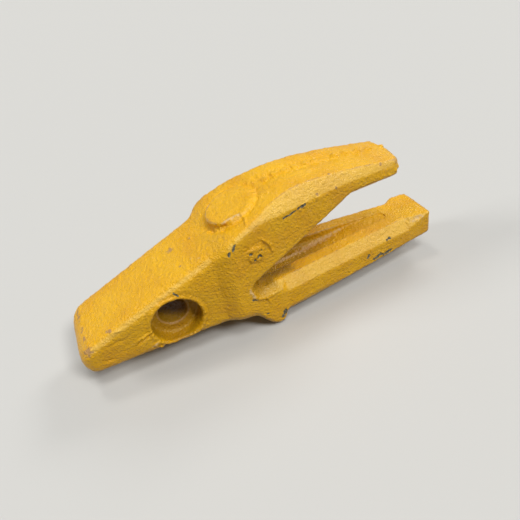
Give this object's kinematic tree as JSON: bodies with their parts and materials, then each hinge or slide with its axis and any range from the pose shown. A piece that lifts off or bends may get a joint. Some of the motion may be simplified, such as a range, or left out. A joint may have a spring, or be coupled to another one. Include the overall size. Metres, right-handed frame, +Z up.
{
  "type": "weld-on bucket tooth adapter",
  "caption": "Yellow cast-steel weld-on adapter for a digger bucket tooth: tapered nose with a side pin bore, and a fork of long straps that goes over the bucket lip.",
  "frame": {"origin": "on the seat face of the lower strap, on the middle plane, 19 mm in from the strap's tip: the middle of the pad that lies on the lip plate", "axes": "+X toward the strap tips (the nose points along -X), +Z up out of the seat face toward the upper strap, +Y across toward the side with the plain bore mouth; the pin retainer's recess opens on the -Y side"},
  "size_m": [0.329, 0.0834, 0.1204],
  "materials": {
    "painted_cast_steel": "semi-gloss yellow paint over a sand-cast skin"
  },
  "bodies": {
    "root": {"adapter_casting": "painted_cast_steel"}
  },
  "joints": []
}
